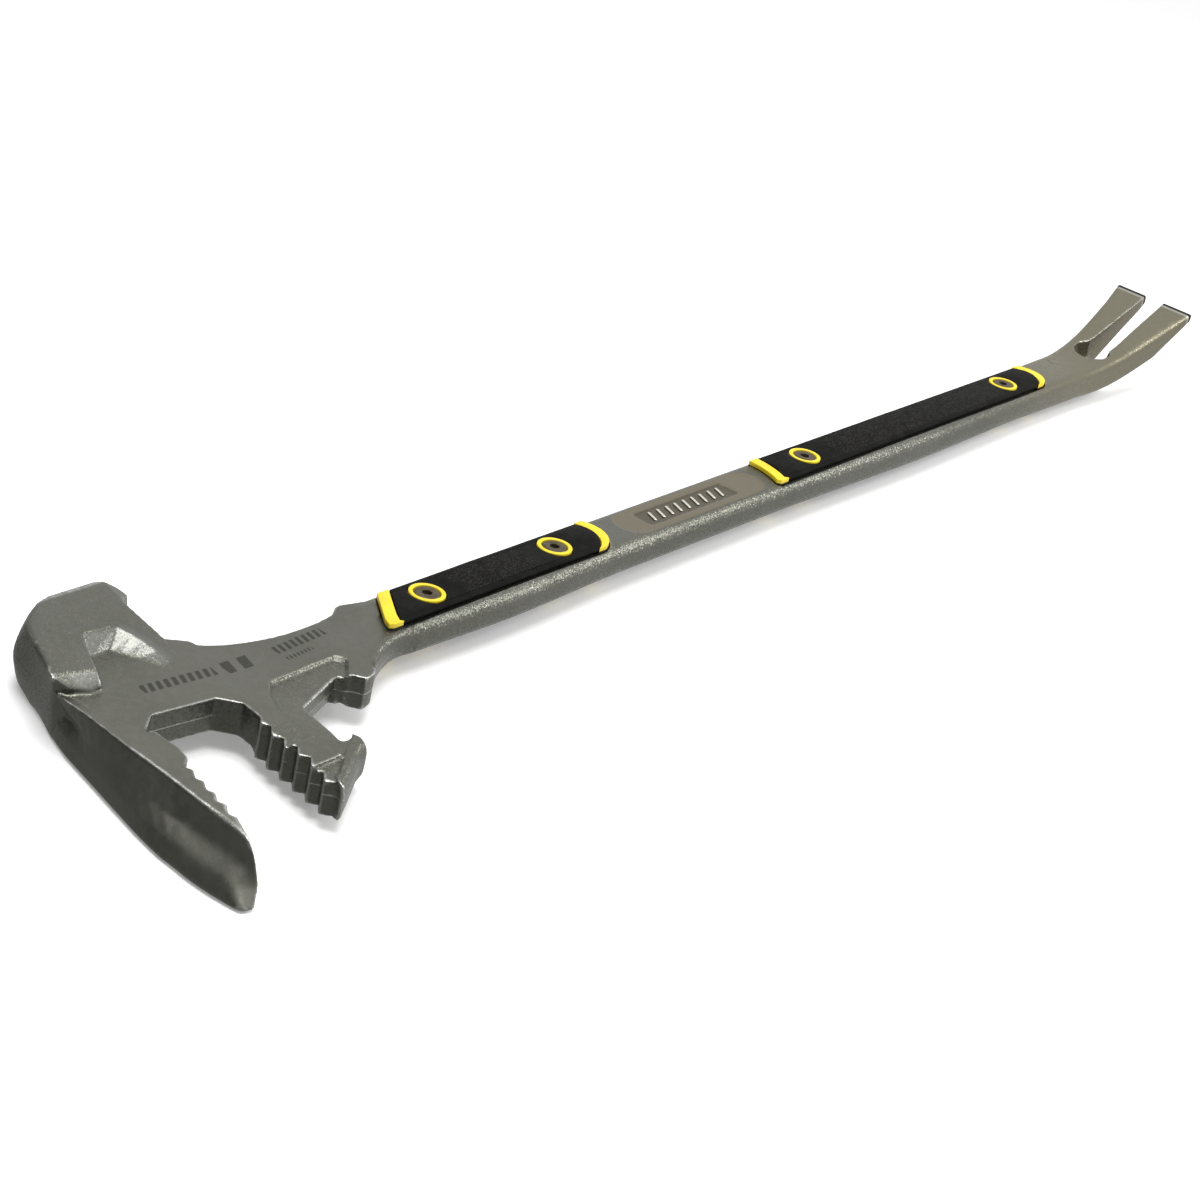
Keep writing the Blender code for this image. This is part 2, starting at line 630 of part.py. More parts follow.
def carrier(which, side, tag, paint):
    """The coloured carrier: a narrow base plate, a band at each end, a collar round each screw."""
    low = side * (SEAT_FLOOR + GAP)
    name = f"grip_carrier_{which}_{tag}"
    body = grip_prism(name, which, 0, -0.1 - trim(side), low, side * BAND_TOP, paint)
    combine(body, between_bands(which, tag, side), "DIFFERENCE")
    inset = 1.0 + trim(side)
    plate = grip_prism(f"plate_{which}_{tag}", which, inset, -0.1 - trim(side), low, side * CARRIER_BASE_TOP)
    strip = [(0, -BASE_HALF_WIDTH), (CLAW_TIP, -BASE_HALF_WIDTH)]
    strip += [(CLAW_TIP, BASE_HALF_WIDTH), (0, BASE_HALF_WIDTH)]
    combine(plate, prism(f"strip_{which}_{tag}", strip, 0, side * 20), "INTERSECT")
    combine(body, plate, "UNION")
    for i, x in enumerate(SCREW_X[which]):
        collar_name = f"collar_{which}_{tag}_{i}"
        collar = cylinder(collar_name, x, RING_RADIUS, side * (SEAT_FLOOR + 0.8), side * RING_TOP, 40)
        combine(body, collar, "UNION")
        bore = cylinder(f"bore_{which}_{tag}_{i}", x, HOLE_RADIUS, side * 2, side * 20, 32)
        combine(body, bore, "DIFFERENCE")
        sink = cylinder(f"sink_{which}_{tag}_{i}", x, SCREW_RADIUS + GAP, side * 6.9, side * 20, 40)
        combine(body, sink, "DIFFERENCE")
    smooth(body)
    return seated(body, side)


def overmould(which, side, tag, paint):
    """The black crowned pad, lying on the carrier between its end bands."""
    low = CARRIER_BASE_TOP + GAP
    name = f"grip_pad_{which}_{tag}"
    inset = BAND_LENGTH[which] + GAP
    body = grip_prism(name, which, inset, -0.2 - trim(side), side * low, side * 12, paint)
    ends = (140.0, 300.0) if which == "short" else (390.0, 670.0)
    crown = []
    for x in ends:
        ring = [(x, -12, side * 3), (x, -12, side * (PAD_EDGE - 1.2))]
        for t in np.linspace(-1, 1, 9):
            ring.append((x, t * GRIP_HALF_WIDTH, side * (PAD_CROWN - (PAD_CROWN - PAD_EDGE) * t**2)))
        ring += [(x, 12, side * (PAD_EDGE - 1.2)), (x, 12, side * 3)]
        crown.append(ring)
    combine(body, loft(f"crown_{which}_{tag}", crown), "INTERSECT")
    for i, x in enumerate(SCREW_X[which]):
        window = cylinder(f"window_{which}_{tag}_{i}", x, RING_RADIUS + GAP, side * 2, side * 20, 40)
        combine(body, window, "DIFFERENCE")
    smooth(body)
    return seated(body, side)


def spun(name, profile, sides, paint):
    """A turned body about a vertical axis through the origin, from (radius, height) pairs."""
    rings = []
    for radius, height in profile:
        around = [math.tau * i / sides for i in range(sides)]
        rings.append([(radius * math.cos(a), radius * math.sin(a), height) for a in around])
    return loft(name, rings, paint)


def place(obj, x):
    obj.location = (x * MM, 0, 0)
    return obj


def screw(name, x, paint):
    """Socket head and plain shank."""
    profile = [(SHANK_RADIUS, -3.3), (SHANK_RADIUS, 7.2), (SCREW_RADIUS, 7.2), (SCREW_RADIUS, 9.0)]
    profile += [(SCREW_RADIUS - 0.4, SCREW_TOP)]
    body = spun(name, profile, 32, paint)
    hex_floor = SCREW_TOP - HEX_DEPTH
    socket = cylinder(name + "_socket", 0, HEX_RADIUS, hex_floor, SCREW_TOP + 3, 6, turn=math.pi / 6)
    combine(body, place(socket, x), "DIFFERENCE")
    smooth(body)
    return place(body, x)


def sleeve_nut(name, x, paint):
    """The nut on the underside: a socket head and a barrel over the screw shank."""
    profile = [(SLEEVE_RADIUS, 3.0), (SLEEVE_RADIUS, -7.2), (SCREW_RADIUS, -7.2), (SCREW_RADIUS, -9.0)]
    profile += [(SCREW_RADIUS - 0.4, -SCREW_TOP)]
    body = spun(name, profile, 32, paint)
    bore = cylinder(name + "_bore", 0, SHANK_RADIUS + GAP, -5.2, 6, 24)
    combine(body, place(bore, x), "DIFFERENCE")
    hex_floor = -SCREW_TOP + HEX_DEPTH
    socket = cylinder(name + "_socket", 0, HEX_RADIUS, -SCREW_TOP - 3, hex_floor, 6, turn=math.pi / 6)
    combine(body, place(socket, x), "DIFFERENCE")
    smooth(body)
    return seated(place(body, x), -1)


def main():
    clear_scene()
    steel = material("forged_steel", (0.16, 0.155, 0.135), 0.45, 1.0)
    yellow = material("yellow_carrier", (0.87, 0.72, 0.05), 0.45, 0.0)
    black = material("black_overmould", (0.035, 0.035, 0.03), 0.7, 0.0)
    dark = material("fastener_steel", (0.13, 0.1, 0.06), 0.4, 1.0)
    pieces = [forged_bar(steel)]
    for which, places in SCREW_X.items():
        for side, tag in ((1, "top"), (-1, "bottom")):
            pieces.append(carrier(which, side, tag, yellow))
            pieces.append(overmould(which, side, tag, black))
        for i, x in enumerate(places, 1):
            pieces.append(screw(f"socket_screw_{which}_{i}", x, dark))
            pieces.append(sleeve_nut(f"sleeve_nut_{which}_{i}", x, dark))
    rig = bpy.data.objects.new("bar_frame", None)
    bpy.context.scene.collection.objects.link(rig)
    for obj in list(bpy.data.objects):
        if obj is not rig:
            obj.parent = rig
    bpy.context.view_layer.update()
    graph = bpy.context.evaluated_depsgraph_get()
    box = np.array([c for piece in pieces for c in box_corners(piece, graph)])
    low, high = box.min(axis=0), box.max(axis=0)
    rig.location = (-(low[0] + high[0]) / 2, -(low[1] + high[1]) / 2, -low[2])


def box_corners(piece, graph):
    seen = piece.evaluated_get(graph)
    mesh = seen.to_mesh()
    points = np.empty(len(mesh.vertices) * 3)
    mesh.vertices.foreach_get("co", points)
    points = points.reshape(-1, 3) + np.array(seen.matrix_world.translation)
    seen.to_mesh_clear()
    return [points.min(axis=0), points.max(axis=0)]


main()
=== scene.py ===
import math

import bmesh
import bpy
import numpy as np
from mathutils import Matrix, Vector


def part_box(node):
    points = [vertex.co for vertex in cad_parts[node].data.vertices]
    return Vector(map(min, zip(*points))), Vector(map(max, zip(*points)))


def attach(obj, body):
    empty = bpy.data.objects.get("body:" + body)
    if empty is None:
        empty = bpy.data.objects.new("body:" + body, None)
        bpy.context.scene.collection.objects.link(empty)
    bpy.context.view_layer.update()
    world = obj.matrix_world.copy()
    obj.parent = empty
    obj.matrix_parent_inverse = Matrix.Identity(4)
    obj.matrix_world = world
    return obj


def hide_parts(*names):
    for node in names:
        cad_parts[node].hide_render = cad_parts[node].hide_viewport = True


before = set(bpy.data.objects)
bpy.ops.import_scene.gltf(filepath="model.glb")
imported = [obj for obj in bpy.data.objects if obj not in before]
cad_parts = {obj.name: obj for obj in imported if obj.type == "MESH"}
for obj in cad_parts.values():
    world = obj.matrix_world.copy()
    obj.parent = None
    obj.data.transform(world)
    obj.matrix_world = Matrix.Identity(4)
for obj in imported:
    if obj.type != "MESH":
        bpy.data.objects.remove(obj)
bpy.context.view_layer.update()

MM = 0.001

# Unless a comment says otherwise, lengths are millimetres in the bar's own coordinates: X runs along the
# bar from the jaw's end, and Y = 0 and Z = 0 are on its axis.
FIRST_SCREW_X = 180.0
SCREW_TOP = 9.4

# The skin of the forged bar. Each ball (centre, radius, passes) is a place where the forging is rounded more.
SKIN_VOXEL = 0.6
SKIN_PASSES = 4
SKIN_TRIANGLES = 195000
BLOCK_FOOT = ((9, 42, -2), 24, 160)
BLOCK_HEAD = ((24, 62, 0), 24, 150)
NECK_CORNER = ((143, -17, 3), 21, 160)
BLADE_TIP = ((3, -68, -5), 19, 50)
SHORT_JAW_LIP = ((85, -57, 1), 11, 16)
SKIN_MARGIN = 0.001

# Rounds on the hard edges of the other pieces: width and segments.
CARRIER_ROUND = (0.35, 3)
PAD_ROUND = (0.5, 3)
FASTENER_ROUND = (0.18, 2)
ROUNDED_ANGLE = math.radians(35)
SHARP_ANGLE = math.radians(40)

# The machined label flat on top of the bar, the sunk panel in it, and the row of ribs in the panel.
FLAT_X = 348.0
FLAT_STRAIGHT = 39.6
FLAT_RADIUS = 9.6
PANEL_X = 345.5
PANEL_HALF_LENGTH = 31.7
PANEL_HALF_WIDTH = 5.7
RIB_COUNT = 9
RIB_FIRST_X = 321.5
RIB_PITCH = 6.0
RIB_LEAN = math.radians(-24)
RIB_LENGTH = 7.2
RIB_WIDTH = 1.4
RIB_BASE = 6.0
RIB_TOP = 6.75
RIB_POINTS = 16
RIB_SHARP_ANGLE = math.radians(50)

# Rows of etched bars on the web: start, lean in radians, length, height, pitch, and the filled share.
ETCHED_ROWS = (
    ((43.0, 6.4), -0.12, 31.0, 5.4, 3.3, 0.62),
    ((77.0, 2.0), -0.04, 15.0, 7.6, 7.8, 0.6),
    ((101.5, 1.6), 0.06, 26.0, 5.0, 3.1, 0.6),
    ((101.5, -4.6), 0.06, 14.0, 2.3, 1.9, 0.55),
)
TINE_STAMP = ((674.9, 9.0), -2.03, 6.8, 0.9, 30.0, 0.9)
HATCH_SLANT = 0.28

# Steel colours.
STEEL_DARK = (0.128, 0.13, 0.107)
STEEL_LIGHT = (0.152, 0.153, 0.13)
SPECK_TONE = (0.17, 0.17, 0.153)
FLAT_TONE = (0.205, 0.18, 0.13)
PANEL_TONE = (0.12, 0.107, 0.076)
RIB_TONE = (0.75, 0.72, 0.62)
CLAW_TONE = (0.235, 0.216, 0.152)
# Painted shade for the creases.
CREASE_SHADE_TONE = (0.035, 0.033, 0.027)
# Worn bare edges, brightened further as a painted highlight.
WEAR_AND_GLINT_TONE = (0.52, 0.52, 0.5)
RIM_TONE = (0.45, 0.46, 0.43)
ETCHED_TONE = (0.035, 0.034, 0.028)
# Painted glint along the flash line.
SEAM_GLINT_TONE = (0.5, 0.5, 0.46)
GROUND_TIP_TONE = (0.42, 0.41, 0.36)
# Painted shade on the end faces of the claw's tips.
TIP_END_SHADE_TONE = (0.03, 0.028, 0.02)
# Painted highlight on the slopes in the block's recess.
SLOPE_HIGHLIGHT_TONE = (0.23, 0.235, 0.225)
# Painted lightening of the blade's outer face.
BLADE_FACE_LIGHTENING = (0.26, 0.262, 0.23)
SLOPE_SHARE = 0.45

# Colours of the grips, the fasteners and the floor.
YELLOW_DARK = (0.7, 0.53, 0.006)
YELLOW_LIGHT = (0.77, 0.59, 0.010)
# Painted shade for the carriers' sides in the gap beside the bar.
YELLOW_GAP_SHADE = (0.012, 0.010, 0.004)
PAD_DARK = (0.006, 0.006, 0.0055)
PAD_LIGHT = (0.0095, 0.0095, 0.0085)
PAD_DOT = (0.06, 0.057, 0.05)
FASTENER_DARK = (0.075, 0.058, 0.035)
FASTENER_LIGHT = (0.13, 0.105, 0.065)
FLOOR_DARK = (0.8, 0.8, 0.8)
FLOOR_LIGHT = (0.815, 0.815, 0.812)
FLOOR_GLOW = 0.25
FLOOR_HALF = 30.0

# Lamps in world metres and watts: place, target, size, power.
OVERHEAD = ((-0.35, 0.0, 1.7), (0.0, 0.0, 0.0), (1.2, 1.0), 29.0)
RIGHT_FRONT = ((0.384, -0.35, 0.41), (-0.23, 0.0, 0.0), (0.2, 0.2), 2.0)

# The world's light: which way it is brightest, and how its strength falls off and lifts below the horizon.
SKY_TOWARDS = (0.9, -0.1, 0.42)
SKY_FALL = (-0.55, 0.55, 0.05, 0.85)
GROUND_LIFT = (0.1, -0.3, 0.0, 0.36)

# The camera: where its eye is, and its right, down and forward directions.
EYE = (-510.85, -523.54, 450.55)
EYE_RIGHT = Vector((0.61297, -0.76476, 0.19853))
EYE_DOWN = Vector((-0.24276, -0.4214, -0.87378))
EYE_FORWARD = Vector((0.75189, 0.4874, -0.44396))
LENS = 78.0
SENSOR = 36.0
CLIP_END = 100.0

screw_low, screw_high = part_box("socket_screw_short_1")
ORIGIN = Vector((
    (screw_low.x + screw_high.x) / 2 - FIRST_SCREW_X * MM,
    (screw_low.y + screw_high.y) / 2,
    screw_high.z - SCREW_TOP * MM,
))


def at(x, y, z):
    return ORIGIN + Vector((x, y, z)) * MM


# ---------------------------------------------------------------- meshes


def welded(node):
    """A copy of a CAD node's mesh with its split vertices joined again."""
    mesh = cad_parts[node].data.copy()
    work = bmesh.new()
    work.from_mesh(mesh)
    bmesh.ops.remove_doubles(work, verts=work.verts, dist=1e-6)
    bmesh.ops.dissolve_limit(work, angle_limit=math.radians(0.4), verts=work.verts, edges=work.edges)
    work.to_mesh(mesh)
    work.free()
    mesh.materials.clear()
    for name in [a.name for a in mesh.attributes if a.name == "custom_normal"]:
        mesh.attributes.remove(mesh.attributes[name])
    return mesh


def object_of(name, mesh):
    obj = bpy.data.objects.new(name, mesh)
    bpy.context.scene.collection.objects.link(obj)
    return obj


def apply_modifiers(obj):
    graph = bpy.context.evaluated_depsgraph_get()
    mesh = bpy.data.meshes.new_from_object(obj.evaluated_get(graph), depsgraph=graph)
    obj.modifiers.clear()
    obj.data = mesh


def stands_for(obj, node, paint):
    """Gives the piece its material and puts it in the place of a CAD node."""
    obj.data.materials.append(paint)
    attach(obj, "root")
    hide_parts(node)


def neighbours_mean(points, pairs, count):
    total = np.zeros_like(points)
    for axis in range(points.shape[1]):
        total[:, axis] = np.bincount(pairs[:, 0], points[pairs[:, 1], axis], len(points))
        total[:, axis] += np.bincount(pairs[:, 1], points[pairs[:, 0], axis], len(points))
    return total / count[:, None]


def neighbour_count(pairs, size):
    return np.bincount(pairs.ravel(), minlength=size).astype(float).clip(1)


def thin(obj, most):
    """Collapses flat areas until the object has at most this many triangles."""
    count = sum(len(face.vertices) - 2 for face in obj.data.polygons)
    if count > most:
        fewer = obj.modifiers.new("fewer", "DECIMATE")
        fewer.ratio = most / count
        apply_modifiers(obj)


def soften_ball(points, pairs, centre, radius, passes):
    """Rounds the points inside a ball, most at its middle, in place."""
    away = np.linalg.norm(points - np.array(at(*centre)), axis=1) / (radius * MM)
    inside = np.flatnonzero(away < 1.0)
    place = np.full(len(points), -1)
    place[inside] = np.arange(len(inside))
    near = place[pairs]
    near = near[(near >= 0).all(axis=1)]
    local = points[inside]
    count = neighbour_count(near, len(local))
    share = ((1.0 - away[inside]) / 0.35).clip(0.0, 1.0)[:, None] * 0.5
    for _ in range(passes):
        local = local + share * (neighbours_mean(local, near, count) - local)
    points[inside] = local


def forged(node, name, softer):
    """The node as a dense skin with forged edge radii, and how strongly each point is an edge."""
    obj = object_of(name, welded(node))
    voxel = SKIN_VOXEL * MM
    skin = obj.modifiers.new("skin", "REMESH")
    skin.mode = "VOXEL"
    skin.voxel_size = voxel
    apply_modifiers(obj)
    mesh = obj.data
    points = np.empty(len(mesh.vertices) * 3)
    mesh.vertices.foreach_get("co", points)
    points = points.reshape(-1, 3)
    pairs = np.empty(len(mesh.edges) * 2, np.int64)
    mesh.edges.foreach_get("vertices", pairs)
    pairs = pairs.reshape(-1, 2)
    count = neighbour_count(pairs, len(points))
    # A shrinking step and a slightly stronger swelling one, so that the whole keeps its size.
    for _ in range(SKIN_PASSES):
        for step in (0.5, -0.52):
            points = points + step * (neighbours_mean(points, pairs, count) - points)
    for ball in softer:
        soften_ball(points, pairs, *ball)
    low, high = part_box(node)
    points = points.clip(np.array(low) + SKIN_MARGIN * MM, np.array(high) - SKIN_MARGIN * MM)
    mesh.vertices.foreach_set("co", points.ravel())
    mesh.update()
    normals = np.empty(len(points) * 3)
    mesh.vertices.foreach_get("normal", normals)
    bulge = points - neighbours_mean(points, pairs, count)
    edge = (bulge * normals.reshape(-1, 3)).sum(axis=1)[:, None] / voxel
    for _ in range(3):
        edge = (edge + neighbours_mean(edge, pairs, count)) / 2
    values = mesh.attributes.new("edge", "FLOAT", "POINT")
    values.data.foreach_set("value", edge.ravel().astype(np.float32))
    thin(obj, SKIN_TRIANGLES)
    obj.data.shade_smooth()
    return obj


def softened(node, name, edge_round):
    """The node with a small round on every hard edge."""
    obj = object_of(name, welded(node))
    width, segments = edge_round
    bevel = obj.modifiers.new("round", "BEVEL")
    bevel.width = width * MM
    bevel.segments = segments
    bevel.limit_method = "ANGLE"
    bevel.angle_limit = ROUNDED_ANGLE
    bevel.miter_outer = "MITER_ARC"
    apply_modifiers(obj)
    obj.data.shade_smooth()
    obj.data.set_sharp_from_angle(angle=SHARP_ANGLE)
    return obj


# ---------------------------------------------------------------- node helpers


def set_range(node, low, high, to_low, to_high):
    """Sets the four ends of a Map Range node."""
    for key, number in (("From Min", low), ("From Max", high), ("To Min", to_low), ("To Max", to_high)):
        node.inputs[key].default_value = number


class Shader:
    """Short calls for building one material's node tree. Sizes and coordinates are in millimetres."""

    def __init__(self, name, roughness=0.5, metallic=0.0):
        self.material = bpy.data.materials.new(name)
        self.material.use_nodes = True
        self.tree = self.material.node_tree
        self.out = self.tree.nodes["Principled BSDF"]
        self.out.inputs["Roughness"].default_value = roughness
        self.out.inputs["Metallic"].default_value = metallic
        self.place = self.new("ShaderNodeTexCoord").outputs["Object"]

    def new(self, kind, **settings):
        node = self.tree.nodes.new(kind)
        for key, value in settings.items():
            setattr(node, key, value)
        return node

    def link(self, value, socket):
        if isinstance(value, bpy.types.NodeSocket):
            self.tree.links.new(value, socket)
        else:
            socket.default_value = value

    def math(self, operation, first, second=0.0):
        node = self.new("ShaderNodeMath", operation=operation)
        self.link(first, node.inputs[0])
        self.link(second, node.inputs[1])
        return node.outputs[0]

    def vector(self, operation, first, second):
        node = self.new("ShaderNodeVectorMath", operation=operation)
        self.link(first, node.inputs[0])
        self.link(second, node.inputs[1])
        return node.outputs[0]

    def local(self, letter):
        """The point's own bar coordinate."""
        split = self.new("ShaderNodeSeparateXYZ")
        self.link(self.place, split.inputs[0])
        offset = ORIGIN["XYZ".index(letter)]
        return self.math("MULTIPLY", self.math("SUBTRACT", split.outputs[letter], offset), 1 / MM)

    def noise(self, size, detail=2.0, rough=0.5):
        """A noise whose blobs are about this wide."""
        node = self.new("ShaderNodeTexNoise")
        self.link(self.place, node.inputs["Vector"])
        node.inputs["Scale"].default_value = 1 / (size * MM)
        node.inputs["Detail"].default_value = detail
        node.inputs["Roughness"].default_value = rough
        return node.outputs["Fac"]

    def cells(self, size):
        """A pattern of cells about this wide."""
        node = self.new("ShaderNodeTexVoronoi")
        self.link(self.place, node.inputs["Vector"])
        node.inputs["Scale"].default_value = 1 / (size * MM)
        return node

    def ramp(self, value, zero, one):
        """0 at and before the first number, 1 at and past the second, smooth between."""
        node = self.new("ShaderNodeMapRange", interpolation_type="SMOOTHSTEP")
        self.link(value, node.inputs["Value"])
        set_range(node, zero, one, 0.0, 1.0)
        return node.outputs["Result"]

    def span(self, value, low, high, to_low, to_high):
        """Takes the range low to high linearly to another range."""
        node = self.new("ShaderNodeMapRange")
        self.link(value, node.inputs["Value"])
        set_range(node, low, high, to_low, to_high)
        return node.outputs["Result"]

    def near(self, value, centre, half, fade):
        """1 around a centre and 0 from half away on, with a fade just inside that."""
        away = self.math("ABSOLUTE", self.math("SUBTRACT", value, centre))
        return self.ramp(away, half, half - fade)

    def both(self, *values):
        made = values[0]
        for value in values[1:]:
            made = self.math("MULTIPLY", made, value)
        return made

    def most(self, *values):
        made = values[0]
        for value in values[1:]:
            made = self.math("MAXIMUM", made, value)
        return made

    def mix(self, factor, first, second):
        node = self.new("ShaderNodeMix", data_type="RGBA", blend_type="MIX")
        self.link(factor, node.inputs["Factor"])
        for value, socket in ((first, node.inputs[6]), (second, node.inputs[7])):
            self.link((*value, 1.0) if isinstance(value, tuple) else value, socket)
        return node.outputs[2]

    def bump(self, height, depth, strength=1.0, below=None):
        node = self.new("ShaderNodeBump")
        self.link(height, node.inputs["Height"])
        node.inputs["Distance"].default_value = depth * MM
        self.link(strength, node.inputs["Strength"])
        if below is not None:
            self.link(below, node.inputs["Normal"])
        return node.outputs["Normal"]

    def flakes(self, size, share, below):
        """Tips the surface a little differently in each small cell, as metal flakes do."""
        centred = self.vector("SUBTRACT", self.cells(size).outputs["Color"], (0.5, 0.5, 0.5))
        scaled = self.new("ShaderNodeVectorMath", operation="SCALE")
        self.link(centred, scaled.inputs[0])
        self.link(share, scaled.inputs["Scale"])
        total = self.vector("ADD", below, scaled.outputs[0])
        unit = self.new("ShaderNodeVectorMath", operation="NORMALIZE")
        self.link(total, unit.inputs[0])
        return unit.outputs[0]

    def finish(self, colour, roughness=None, normal=None):
        self.link(colour, self.out.inputs["Base Color"])
        if roughness is not None:
            self.link(roughness, self.out.inputs["Roughness"])
        if normal is not None:
            self.link(normal, self.out.inputs["Normal"])
        return self.material


# ---------------------------------------------------------------- materials


def hatch(s, x, y, start, lean, length, height, pitch, filled):
    """A row of generic slanted etched bars that starts at a point and runs along the head."""
    fade = 0.3
    cosine = math.cos(lean)
    sine = math.sin(lean)
    dx = s.math("SUBTRACT", x, start[0])
    dy = s.math("SUBTRACT", y, start[1])
    along = s.math("ADD", s.math("MULTIPLY", dx, cosine), s.math("MULTIPLY", dy, sine))
    across = s.math("SUBTRACT", s.math("MULTIPLY", dy, cosine), s.math("MULTIPLY", dx, sine))
    inside = s.both(
        s.ramp(along, 0.0, fade),
        s.ramp(along, length, length - fade),
        s.near(across, 0.0, height / 2, fade),
    )
    slanted = s.math("SUBTRACT", along, s.math("MULTIPLY", across, HATCH_SLANT))
    phase = s.math("FRACT", s.math("DIVIDE", slanted, pitch))
    return s.both(inside, s.ramp(phase, filled, filled - 0.08))


class SteelPlaces:
    """Masks, 0 to 1, that say where on the forged bar a point is."""

    def __init__(self, s):
        x = s.local("X")
        y = s.local("Y")
        z = s.local("Z")
        self.worn, self.crease_shade = self.edges(s, x, y, z)
        self.flat, self.panel, self.ribs = self.label(s, x, y, z)
        self.claw = s.ramp(x, 560.0, 700.0)
        self.web = s.both(s.ramp(z, 6.0, 6.35), s.ramp(z, 7.4, 7.1), s.ramp(x, 165.0, 150.0))
        # A lighter, grainy band along the block's far end.
        self.rim = s.both(s.ramp(y, 61.6, 63.0), s.ramp(z, 6.0, 10.0))
        self.etched, self.stamp = self.marks(s, x, y, z)
        # The flash line left where the forging dies met, on the walls but not on the teeth.
        toothed = s.both(s.ramp(x, 60.0, 62.0), s.ramp(x, 90.0, 86.0))
        self.seam = s.near(z, -0.2, 0.45, 0.35)
        self.wall = s.both(s.ramp(x, 24.0, 27.0), s.ramp(x, 150.0, 135.0), s.math("SUBTRACT", 1.0, toothed))
        # The flash line's lighter tone is a painted glint; the raised line itself is real and comes from the
        # bump.
        self.seam_glint = s.both(self.seam, self.wall, s.ramp(y, 10.0, 4.0), 0.55)
        # The claw's ground tips, and painted shade on their end faces.
        self.ground_tip = s.both(s.ramp(x, 761.4, 762.2), s.ramp(z, 10.0, 14.0))
        self.tip_end_shade = s.ramp(x, 762.9, 763.5)
        self.blade_face = s.both(s.ramp(x, 24.0, 16.0), s.ramp(y, 24.0, 10.0), s.ramp(z, 6.4, 5.0))
        self.slope, self.toe = self.block_slopes(s, x, y, z)
        self.bar_side = s.both(s.ramp(x, 140.0, 155.0), s.ramp(z, 6.6, 5.4))

    def edges(self, s, x, y, z):
        """Worn edges with a painted highlight on them, and painted shade in the creases."""
        edge = s.new("ShaderNodeAttribute", attribute_name="edge").outputs["Fac"]
        # The painted edge highlight is weakened at the neck and strengthened on the blade's ridge.
        neck = s.both(s.ramp(x, 126.0, 134.0), s.ramp(x, 172.0, 164.0), s.ramp(y, -9.0, -12.0))
        blade_ridge = s.both(s.ramp(x, 20.0, 17.0), s.ramp(y, -10.0, -30.0), s.ramp(z, 2.0, 4.0))
        sharp = s.math("MULTIPLY", edge, s.span(blade_ridge, 0.0, 1.0, 1.0, 2.2))
        worn = s.both(s.ramp(sharp, 0.035, 0.15), s.span(neck, 0.0, 1.0, 1.0, 0.1))
        return worn, s.ramp(edge, -0.03, -0.14)

    def label(self, s, x, y, z):
        """The label flat, which is a stadium on top of the bar, its sunk panel, and the ribs in that."""
        along = s.math("ABSOLUTE", s.math("SUBTRACT", x, FLAT_X))
        beside = s.most(s.math("SUBTRACT", along, FLAT_STRAIGHT), 0.0)
        squares = s.math("ADD", s.math("MULTIPLY", beside, beside), s.math("MULTIPLY", y, y))
        away = s.math("POWER", squares, 0.5)
        flat = s.both(s.ramp(away, FLAT_RADIUS, FLAT_RADIUS - 0.4), s.ramp(z, 5.6, 5.9))
        panel_length = s.near(x, PANEL_X, PANEL_HALF_LENGTH, 0.5)
        panel_width = s.near(y, 0.0, PANEL_HALF_WIDTH, 0.4)
        panel = s.both(panel_length, panel_width, s.ramp(z, 6.75, 6.5), flat)
        ribs = s.both(s.near(x, PANEL_X, 30.0, 0.5), s.near(y, 0.0, 4.6, 0.2), s.ramp(z, 6.35, 6.6), flat)
        return flat, panel, ribs

    def marks(self, s, x, y, z):
        """The etched rows on the web and the mark stamped in one tine."""
        rows = s.most(*[hatch(s, x, y, *row) for row in ETCHED_ROWS])
        etched = s.both(rows, s.ramp(z, 6.2, 6.4), s.ramp(z, 7.2, 7.0))
        stamp = s.both(hatch(s, x, y, *TINE_STAMP), s.ramp(z, 5.0, 6.0))
        return etched, stamp

    def block_slopes(self, s, x, y, z):
        """The slopes in the block's recess, which get a painted highlight, and the one at its foot."""
        across = s.math("POWER", s.math("SUBTRACT", x, 44.0), 2.0)
        upward = s.math("POWER", s.math("SUBTRACT", y, 22.0), 2.0)
        recess = s.both(s.ramp(s.math("ADD", across, upward), 560.0, 380.0), s.ramp(y, 12.0, 15.0))
        slope = s.both(s.ramp(z, 6.8, 7.6), s.ramp(z, 12.3, 11.6), recess, SLOPE_SHARE)
        foot = s.both(s.ramp(x, 42.0, 36.0), s.ramp(y, 6.0, 12.0), s.ramp(y, 42.0, 34.0))
        toe = s.both(foot, s.ramp(z, 12.4, 11.8), s.ramp(z, 6.7, 7.2))
        return slope, toe


